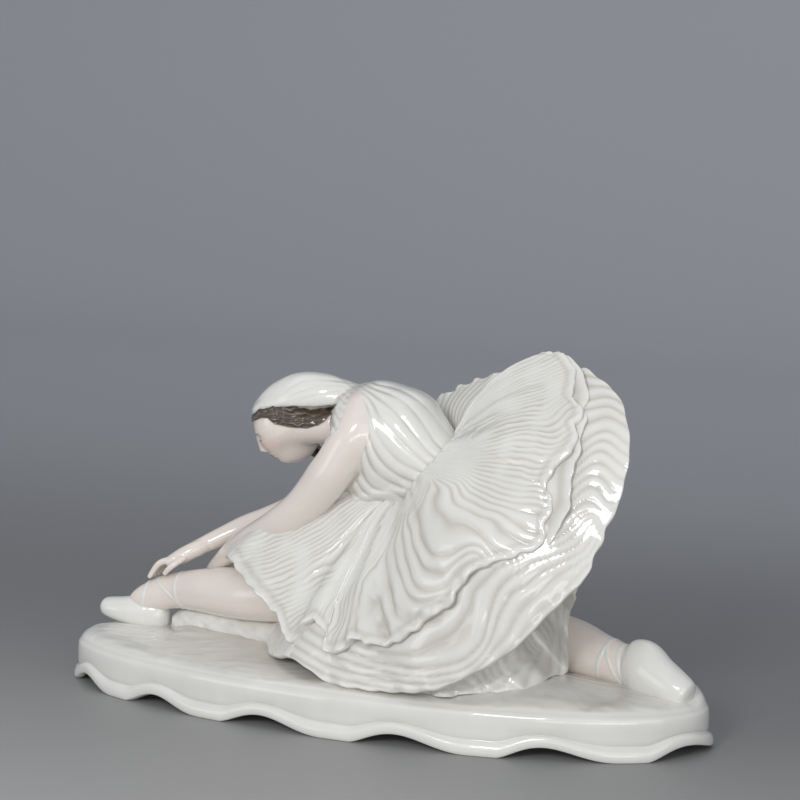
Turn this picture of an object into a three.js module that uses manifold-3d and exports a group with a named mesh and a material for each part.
// A glazed porcelain dancer who folds forward over one outstretched leg, on a low oval plinth.
// Everything was slip cast and fired as one piece, so the model is one solid.
// Millimetres, +Z up. The origin is under the middle of the plinth, at the level of its feet.
// -X is where the front foot points, and -Y is the side that the dancer shows.
import * as THREE from "three";
import { LoftGeometry } from "three/addons/geometries/LoftGeometry.js";
import { mergeVertices } from "three/addons/utils/BufferGeometryUtils.js";
import Module from "manifold-3d";

// Driving dimensions
const PLINTH = {
  halfLength: 200,
  halfDepth: 66,
  squareness: 2.05, // 2 is an ellipse
  taper: 0.08, // the end with the bent leg is this share wider
  height: 26,
  crown: 4, // the ground rises by this to the middle
  // the share of the way round, from the +X end by the far side, where each foot stands
  feet: [0.031, 0.118, 0.2, 0.288, 0.374, 0.447, 0.508, 0.577, 0.657, 0.752, 0.849, 0.942],
  arch: 7, // height of the arches between the feet
  flare: 5, // the wall leans out by this to the rim
  tuck: 1.6, // over an arch the rim lies this much further in
  rim: 7, // thickness of the wall at the rim
  recess: 15, // depth of the hollow underneath
};

// Stations of a limb: x, y, z of its middle, half width across and half thickness
const TORSO = [
  [60, 8, 84, 28, 26],
  [50, 7, 112, 25, 24],
  [34, 7, 139, 22.5, 22],
  [12, 10, 152, 27, 33],
  [-6, 14, 161, 31, 29],
  [-20, 16, 166, 30, 23],
  [-32, 16, 171, 17, 14],
];
const BELLY = [
  [44, 6, 118, 21, 18],
  [12, 8, 127, 22, 19],
  [-16, 10, 136, 20, 17],
];
const NECK = [
  [-24, 16, 164, 11, 11],
  [-38, 16, 161, 9.5, 9.5],
  [-56, 15, 156, 10, 10],
];
const NEAR_ARM = [
  [-4, -6, 174, 11, 11],
  [-10, -13, 166, 13.6, 13.6],
  [-22, -12, 141, 12.6, 12.6],
  [-42, -9, 118, 11.4, 11.4],
  [-63, -4, 102.5, 10.2, 10.2],
  [-84, 4, 91, 8.6, 8.6],
  [-102, 13, 80, 6.8, 6.8],
  [-119, 24, 67, 5.2, 5.2],
  [-122, 27, 62, 5, 4.6],
];
const FAR_ARM = [
  [-22, 36, 166, 11, 11],
  [-30, 42, 157, 12, 12],
  [-46, 46, 139, 11.2, 11.2],
  [-59, 47, 119, 10.4, 10.4],
  [-73, 44.5, 104, 9.6, 9.6],
  [-90, 42, 95.5, 8.8, 8.8],
  [-106, 37, 90, 8, 8],
  [-120, 29.5, 83.5, 6.8, 6.8],
  [-129, 23.5, 79, 5.6, 5.6],
  [-136, 18, 75, 5, 4.6],
];
const FRONT_LEG = [
  [34, 5, 80, 14, 16],
  [0, 5, 73, 13, 15],
  [-34, 5, 65.5, 13, 14.5],
  [-60, 4.5, 61, 15.4, 15.8],
  [-80, 5, 59, 15.8, 15.8],
  [-100, 8, 57.5, 15, 15],
  [-120, 11, 55.5, 12, 12.3],
  [-136, 13.5, 53, 9.5, 9.3],
  [-152, 15, 48, 8.5, 9],
  [-160, 15, 42, 8, 8],
];
const FRONT_SHOE = [
  [-146.5, 17, 36, 4, 6],
  [-150, 17, 36, 7, 9.5],
  [-158, 16, 37, 8.6, 11],
  [-168, 14.5, 37.5, 9, 11],
  [-180, 13, 36.5, 8.6, 9.2],
  [-190, 12, 37, 7.4, 7.2],
  [-195.5, 12, 37, 5, 4.6],
];
const BACK_LEG = [
  [58, 24, 46, 18, 18],
  [95, 23, 45, 16, 17],
  [112, 21.5, 44, 14.5, 16],
  [130, 17, 41, 11.5, 13.5],
  [147, 11, 39, 10, 12],
  [158, 8, 38, 9, 11],
];
const BACK_SHOE = [
  [147, 10, 45, 5, 6],
  [151, 9.5, 46, 8, 10],
  [159, 8, 45.5, 10, 12.5],
  [169, 6, 40.5, 10.5, 12],
  [179, 4.5, 35.5, 9.6, 9.6],
  [187, 3, 32, 8, 7],
  [191, 2.5, 31, 5, 4.5],
];
const LEG_REST = [
  [-140, 20, 24, 5, 12],
  [-133, 19, 29, 8, 14],
  [-110, 17, 32, 12, 14],
  [-80, 14, 33, 15, 13],
  [-45, 8, 33, 18, 13],
];
const SKIRT_REST = [
  [97, 8, 18, 20, 14],
  [97, 8, 45, 19, 13],
  [96, 6, 85, 18, 14],
  [94, 6, 110, 14, 12],
];

// Hands: the palm's stations, then each finger's root, joint and tip, and the finger's radius
const FAR_HAND = {
  palm: [
    [-131, 19.5, 77, 5, 4.4],
    [-138, 15.5, 73.5, 5.6, 3.8],
    [-145, 13.5, 70.5, 6, 3.2],
    [-149, 12.8, 68.5, 5.2, 2.6],
  ],
  fingers: [
    [[-147, 9.5, 69], [-156, 8.5, 65], [-159.5, 9, 58.5]],
    [[-148, 12, 69], [-158, 11.5, 65], [-162, 12, 58]],
    [[-148, 14.5, 68.5], [-158, 14.5, 64.5], [-161, 15, 57.5]],
    [[-147, 17, 68], [-155, 17.5, 64], [-158, 18, 57.5]],
    [[-139, 11, 71.5], [-143.5, 7, 69], [-147, 6.5, 62]],
  ],
  radius: 2,
};
const NEAR_HAND = {
  palm: [
    [-117, 22, 69, 4.8, 4.6],
    [-122, 26.5, 62, 5.6, 3.6],
    [-126, 29, 55, 5.8, 3],
    [-128, 29.5, 51, 5, 2.6],
  ],
  fingers: [
    [[-123, 29.5, 52], [-125, 29.5, 45], [-128, 27, 38]],
    [[-126, 30, 52], [-129, 30, 44], [-132, 27, 37]],
    [[-129, 29.5, 52], [-133, 29.5, 45], [-136, 26.5, 39]],
    [[-131, 28.5, 53], [-136, 28, 47], [-139, 25, 42]],
    [[-124, 23.5, 62], [-132, 22, 61], [-138, 19.5, 60]],
  ],
  radius: 2,
};

// The head is measured from its middle, with the face's forward and the crown's upward directions
const HEAD = {
  middle: [-66, 13.5, 160],
  turn: 17, // degrees that the face turns from -X towards -Y
  bow: 30, // degrees that it looks down
  front: 18,
  back: 21,
  side: 15.5,
  crown: 18.5,
  chin: 24,
  jaw: 0.34, // the chin is this share narrower than the brow
  cover: 2.2, // the kerchief lies this much over the skull
};
// The kerchief's tail, from the knot of hair at the back of the head to the shoulders
const KERCHIEF = [
  [-66, 13.5, 167, 15, 13],
  [-52, 14, 172, 18.5, 16],
  [-38, 15, 174.5, 17, 13.5],
  [-24, 16, 174, 14, 11],
  [-8, 16, 171, 14, 11],
];

// Skirt layers: the waist that the cloth leaves, and each hem from the top of the fan, round the side
// that shows to the knee, and back round the far side. A hem point is x, y, z and how far the cloth
// swells between waist and hem.
const WAIST = { middle: [30, 7, 142], along: [-0.8, 0, 0.6], radius: 21 };
const CORE = [56, 6, 90];
const LAYER_STEP = 1.3; // each layer starts this much inside the one over it
const LEAST_EDGE = 0.6; // corners closer than this are drawn together
const SKIRTS = [
  // the pleated overskirt
  {
    hem: [
      [108, 12, 210, 20],
      [127, -4, 191, 20],
      [129, -20, 170, 24],
      [125, -36, 147, 24],
      [120, -50, 122, 22],
      [98, -60, 106, 20],
      [75, -64, 85, 18],
      [48, -62, 62, 16],
      [8, -52, 44, 14],
      [-26, -36, 39, 16],
      [-53, -21, 46, 26],
      [-80, -15, 66, 32],
      [-97, 1, 81, 34],
      [-84, 20, 70, 30],
      [-62, 34, 66, 14],
      [-46, 44, 80, 12],
      [-32, 52, 103, 12],
      [-18, 54, 130, 12],
      [-5, 54, 154, 12],
      [11, 50, 172, 12],
      [34, 46, 185, 10],
      [60, 38, 195, 8],
      [86, 26, 204, 8],
    ],
    pleats: 30,
    depth: 1.4,
    lip: 3,
  },
  // the long skirt under it
  {
    hem: [
      [116, 14, 204, 14],
      [137, 2, 194, 18],
      [151, -8, 177, 20],
      [155, -20, 148, 18],
      [147, -31, 119, 18],
      [130, -42, 90, 20],
      [106, -54, 58, 20],
      [60, -64, 34, 20],
      [6, -60, 29, 14],
      [-40, -26, 29, 12],
      [-70, 2, 34, 8],
      [-78, 14, 44, 6],
      [-60, 32, 42, 8],
      [-30, 48, 48, 12],
      [6, 62, 68, 18],
      [36, 66, 98, 22],
      [62, 64, 130, 22],
      [84, 58, 160, 18],
      [102, 38, 186, 14],
    ],
    pleats: 28,
    depth: 1.8,
    lip: 4,
  },
  // the short layer that shows behind
  {
    hem: [
      [128, 12, 170, 8],
      [144, 0, 148, 12],
      [146, -12, 118, 12],
      [134, -24, 86, 12],
      [118, -30, 54, 12],
      [98, -34, 30, 10],
      [40, -40, 27, 8],
      [-30, -10, 27, 4],
      [-44, 12, 30, 2],
      [-20, 36, 27, 4],
      [26, 56, 27, 10],
      [66, 61, 38, 14],
      [96, 55, 72, 14],
      [116, 46, 110, 14],
      [128, 32, 146, 12],
    ],
    pleats: 20,
    depth: 2,
    lip: 4,
  },
];

const TURN = Math.PI * 2;
const wasm = await Module();
wasm.setup();

// Small vector helpers on plain arrays
const add = (a, b, k = 1) => a.map((v, i) => v + b[i] * k);
const sub = (a, b) => add(a, b, -1);
const dot = (a, b) => a.reduce((sum, v, i) => sum + v * b[i], 0);
const unit = (a) => a.map((v) => v / Math.hypot(...a));
const cross = (a, b) => [
  a[1] * b[2] - a[2] * b[1],
  a[2] * b[0] - a[0] * b[2],
  a[0] * b[1] - a[1] * b[0],
];
const vector = (a) => new THREE.Vector3(a[0], a[1], a[2]);
const smooth = (low, high, x) => THREE.MathUtils.smoothstep(x, low, high);

// A smooth curve through rows of numbers, for u from 0 to 1
function spline(rows, u, closed = false) {
  const n = rows.length;
  const spans = closed ? n : n - 1;
  const x = closed ? (u - Math.floor(u)) * n : Math.min(Math.max(u, 0), 1) * spans;
  const i = Math.min(Math.floor(x), spans - 1);
  const f = x - i;
  const row = (k) => (closed ? rows[(k + n) % n] : rows[Math.min(Math.max(k, 0), n - 1)]);
  const [a, b, c, d] = [row(i - 1), row(i), row(i + 1), row(i + 2)];
  return b.map(
    (v, k) =>
      0.5 *
      (2 * v +
        (c[k] - a[k]) * f +
        (2 * a[k] - 5 * v + 4 * c[k] - d[k]) * f * f +
        (3 * v - a[k] - 3 * c[k] + d[k]) * f * f * f),
  );
}

// A closed geometry as a solid that can be joined: shared corners merged, collapsed faces dropped
function solid(geometry) {
  const bare = new THREE.BufferGeometry();
  bare.setAttribute("position", geometry.attributes.position);
  bare.setIndex(geometry.index);
  const merged = mergeVertices(bare, 1e-4);
  const corners = merged.index.array;
  const kept = [];
  for (let i = 0; i < corners.length; i += 3) {
    const [a, b, c] = corners.slice(i, i + 3);
    if (a !== b && b !== c && c !== a) kept.push(a, b, c);
  }
  const make = (triangles) =>
    new wasm.Manifold(
      new wasm.Mesh({
        numProp: 3,
        vertProperties: merged.attributes.position.array,
        triVerts: new Uint32Array(triangles),
      }),
    );
  const made = make(kept);
  return made.volume() > 0 ? made : make(kept.reverse());
}

// A closed form from rings of points; a ring whose points all meet closes an end
function fromRings(rings) {
  return solid(new LoftGeometry(rings.map((ring) => ring.map(vector))));
}

// A round-ended limb along its stations; the first half width lies as near Y as the limb allows
function limb(stations, around = 12, along = 14) {
  const side = [0, 1, 0];
  const roundShare = 0.1;
  const step = 0.01;
  const rings = [];
  for (let k = 0; k <= along; k++) {
    const even = k / along;
    const u = (even + 0.5 - 0.5 * Math.cos(Math.PI * even)) / 2; // closer together at the ends
    const [x, y, z, across, thick] = spline(stations, u);
    const ahead = spline(stations, u + step).slice(0, 3);
    const behind = spline(stations, u - step).slice(0, 3);
    const tangent = unit(sub(ahead, behind));
    const s = unit(add(side, tangent, -dot(side, tangent)));
    const n = cross(tangent, s);
    const fromEnd = Math.min(u, 1 - u) / roundShare;
    const close = fromEnd < 1 ? Math.sqrt(1 - (1 - fromEnd) ** 2) : 1;
    const ring = [];
    for (let j = 0; j < around; j++) {
      const a = (j / around) * TURN;
      const c = Math.cos(a) * across * close;
      const d = Math.sin(a) * thick * close;
      ring.push(add(add([x, y, z], s, c), n, d));
    }
    rings.push(ring);
  }
  return fromRings(rings);
}

// A hand is a flat palm and five bent fingers
function hand({ palm, fingers, radius }) {
  const parts = [limb(palm, 8, 4)];
  for (const [root, joint, tip] of fingers) {
    const stations = [
      [...root, radius * 1.1, radius * 1.1],
      [...joint, radius, radius],
      [...tip, radius * 0.75, radius * 0.75],
    ];
    parts.push(limb(stations, 6, 4));
  }
  return parts;
}

// The plinth's plan outline at a share of the way round, as x, y
const OUTLINE = outlineTable();
function outlineTable() {
  const { halfLength, halfDepth, squareness, taper } = PLINTH;
  const steps = 720;
  const table = [];
  let length = 0;
  for (let i = 0; i <= steps; i++) {
    const a = (i / steps) * TURN;
    const power = (v) => Math.sign(v) * Math.abs(v) ** (2 / squareness);
    const x = halfLength * power(Math.cos(a));
    const y = halfDepth * power(Math.sin(a)) * (1 + (taper * x) / halfLength);
    if (i) length += Math.hypot(x - table[i - 1][0], y - table[i - 1][1]);
    table.push([x, y, length]);
  }
  return table;
}
function outline(share) {
  const total = OUTLINE[OUTLINE.length - 1][2];
  const goal = (share - Math.floor(share)) * total;
  const i = Math.max(1, OUTLINE.findIndex((row) => row[2] >= goal));
  const [a, b] = [OUTLINE[i - 1], OUTLINE[i]];
  const f = (goal - a[2]) / (b[2] - a[2]);
  return [a[0] + (b[0] - a[0]) * f, a[1] + (b[1] - a[1]) * f];
}

// Points round the plinth, foot by foot: the share of the way round, how high the rim lifts there and
// the share of its arch. From each flat foot the rim rises steeply and falls slowly to the next foot.
function rimPoints() {
  const { feet, arch } = PLINTH;
  const flat = 0.1; // the share of a span that is flat at each end
  const steps = 5;
  return feet.flatMap((foot, i) => {
    const span = (i + 1 < feet.length ? feet[i + 1] : feet[0] + 1) - foot;
    return Array.from({ length: steps + 1 }, (_, k) => {
      const t = k / steps;
      const rise = Math.sin(Math.PI * t ** 0.75) ** 2;
      return { share: foot + span * (flat + (1 - 2 * flat) * t), lift: arch * rise, rise };
    });
  });
}

function plinth() {
  const { height, crown, flare, tuck, rim, recess } = PLINTH;
  const points = rimPoints();
  // each ring: how far in from the rim, its height at a foot, and the share of the arch it follows
  const profile = [
    [flare + 30, height + crown * 0.8, 0],
    [flare + 5, height + 0.6, 0],
    [flare + 1, height - 2, 0],
    [flare - 0.5, height * 0.55, 0.25],
    [1.5, 6, 0.8],
    [0, 2.5, 1],
    [1, 0, 1],
    [rim - 1, 0, 1],
    [rim, recess * 0.7, 0.2],
    [rim + 5, recess, 0],
  ];
  const ringAt = ([inset, z, follow]) =>
    points.map(({ share, lift, rise }) => {
      const [x, y] = outline(share);
      const reach = inset + rise * tuck * follow;
      const kx = 1 - reach / PLINTH.halfLength;
      const ky = 1 - reach / PLINTH.halfDepth;
      return [x * kx, y * ky, z + lift * follow];
    });
  const pole = (z) => points.map(() => [0, 0, z]);
  return fromRings([pole(height + crown), ...profile.map(ringAt), pole(recess)]);
}

// A skirt layer is a closed lens: from the waist over the swelling cloth to the hem, and back to the core
function skirt({ hem, pleats, depth, lip }, layer) {
  const around = pleats * 3;
  const axis = unit(WAIST.along);
  const waist = add(WAIST.middle, axis, -LAYER_STEP * layer);
  const radius = WAIST.radius - LAYER_STEP * layer;
  const core = add(CORE, [0.7, 0.4, -1], LAYER_STEP * layer);
  const outer = [0, 0.2, 0.4, 0.62, 0.82, 1];
  const inner = [0.04, 0.4];
  const rib = (share) => {
    const [x, y, z, swell] = spline(hem, share, true);
    const end = [x, y, z];
    const away = sub(end, waist);
    const radial = unit(add(away, axis, -dot(away, axis)));
    const start = add(waist, radial, radius);
    const run = unit(sub(end, start));
    const middle = start.map((v, k) => (v + end[k]) / 2);
    const fromCore = sub(middle, core);
    const out = unit(add(fromCore, run, -dot(fromCore, run)));
    return { start, end, out, bend: add(middle, out, swell) };
  };
  const ribs = Array.from({ length: around }, (_, j) => rib(j / around));
  const curve = ({ start, bend, end }, v) =>
    start.map((s, k) => s * (1 - v) ** 2 + bend[k] * 2 * v * (1 - v) + end[k] * v * v);
  const wave = (j) => Math.cos((j / around) * pleats * TURN);
  const rings = [ribs.map(() => waist)];
  for (const v of outer)
    rings.push(ribs.map((r, j) => add(curve(r, v), r.out, depth * v * wave(j))));
  for (const v of inner)
    rings.push(
      ribs.map((r, j) => {
        const edge = add(r.end, r.out, depth * wave(j) * (1 - v) - lip);
        return add(edge, sub(core, edge), v);
      }),
    );
  rings.push(ribs.map(() => core));
  return fromRings(rings);
}

// Radius of the head in a direction given as forward, side and up shares
function headRadius([f, s, u]) {
  const { front, back, side, crown, chin, jaw } = HEAD;
  const length = THREE.MathUtils.lerp(back, front, smooth(-0.5, 0.5, f));
  const tall = THREE.MathUtils.lerp(chin, crown, smooth(-0.3, 0.3, u));
  const narrow = side * (1 - jaw * smooth(0.1, 1, -u));
  return 1 / Math.hypot(f / length, s / narrow, u / tall);
}

// The face's relief in millimetres forward, at s across and u up
function faceRelief(s, u) {
  const bump = (height, s0, u0, ws, wu) =>
    height * Math.exp(-(((Math.abs(s) - s0) / ws) ** 2) - ((u - u0) / wu) ** 2);
  return (
    bump(3.6, 0, -6.5, 1.9, 2.6) +
    bump(1.8, 0, -1.5, 1.6, 3.6) -
    bump(1.8, 6.2, 0.5, 3, 2) +
    bump(1.4, 0, -12.5, 3.2, 1.6) +
    bump(2.2, 0, -19, 4.5, 3)
  );
}

function headAxes() {
  const turn = THREE.MathUtils.degToRad(HEAD.turn);
  const bow = THREE.MathUtils.degToRad(HEAD.bow);
  const level = [-Math.cos(turn), -Math.sin(turn), 0];
  const forward = level.map((v) => v * Math.cos(bow));
  forward[2] = -Math.sin(bow);
  const up = level.map((v) => v * Math.sin(bow));
  up[2] = Math.cos(bow);
  return { forward, up, side: cross(up, forward) };
}

function head() {
  const { forward, up, side } = headAxes();
  const across = 20;
  const down = 16;
  const rings = [];
  for (let i = 0; i <= down; i++) {
    const polar = (i / down) * Math.PI;
    const ring = [];
    for (let j = 0; j < across; j++) {
      const a = (j / across) * TURN;
      const d = [Math.sin(polar) * Math.cos(a), Math.sin(polar) * Math.sin(a), Math.cos(polar)];
      const covered = smooth(-0.15, 0.12, d[2] - 0.25 - 0.45 * d[0]);
      const r = headRadius(d) + HEAD.cover * covered;
      const [f, s, u] = d.map((v) => v * r);
      const relief = f > 0 ? faceRelief(s, u) * smooth(2, 10, f) : 0;
      ring.push(add(add(add(HEAD.middle, forward, f + relief), side, s), up, u));
    }
    rings.push(ring);
  }
  return fromRings(rings);
}

const parts = [
  plinth(),
  ...SKIRTS.map(skirt),
  limb(TORSO, 16, 12),
  limb(BELLY, 12, 6),
  limb(NECK, 10, 4),
  head(),
  limb(KERCHIEF, 16, 12),
  limb(NEAR_ARM, 10, 14),
  limb(FAR_ARM, 10, 14),
  ...hand(FAR_HAND),
  ...hand(NEAR_HAND),
  limb(FRONT_LEG, 12, 14),
  limb(FRONT_SHOE, 10, 10),
  limb(BACK_LEG, 12, 9),
  limb(BACK_SHOE, 10, 10),
  limb(LEG_REST, 10, 8),
  limb(SKIRT_REST, 10, 6),
];
const whole = parts.reduce((joined, part) => joined.add(part));
// Small pockets that the joined forms close off stay filled: only the outer surface is kept
const shells = whole.decompose();
const outer = shells.reduce((a, b) => (a.volume() > b.volume() ? a : b));

// Joining leaves some corners almost together: each such pair becomes one corner
function drawnTogether(vertices, triangles, least) {
  let faces = [];
  for (let i = 0; i < triangles.length; i += 3) faces.push([...triangles.slice(i, i + 3)]);
  const apart = (a, b) =>
    Math.hypot(...[0, 1, 2].map((k) => vertices[3 * a + k] - vertices[3 * b + k]));
  for (let merged = true; merged; ) {
    merged = false;
    const beside = new Map();
    for (const face of faces)
      for (const a of face) {
        if (!beside.has(a)) beside.set(a, new Set());
        face.forEach((b) => b !== a && beside.get(a).add(b));
      }
    const moved = new Map();
    const held = new Set();
    for (const [a, others] of beside)
      for (const b of others) {
        if (held.has(a) || held.has(b) || apart(a, b) > least) continue;
        const shared = [...others].filter((c) => beside.get(b).has(c));
        if (shared.length !== 2) continue;
        moved.set(b, a);
        [a, b, ...others, ...beside.get(b)].forEach((c) => held.add(c));
        merged = true;
      }
    faces = faces
      .map((face) => face.map((a) => moved.get(a) ?? a))
      .filter(([a, b, c]) => a !== b && b !== c && c !== a);
  }
  return faces.flat();
}

const result = outer.getMesh();
const corners = drawnTogether(result.vertProperties, result.triVerts, LEAST_EDGE);
const geometry = new THREE.BufferGeometry();
geometry.setAttribute("position", new THREE.BufferAttribute(result.vertProperties, 3));
geometry.setIndex(corners);
geometry.computeVertexNormals();

const porcelain = new THREE.MeshStandardMaterial({ color: 0xebe9e2, roughness: 0.12, metalness: 0 });
const figurine = new THREE.Mesh(geometry, porcelain);
figurine.name = "ballerina_figurine";

const group = new THREE.Group();
group.add(figurine);
export default group;
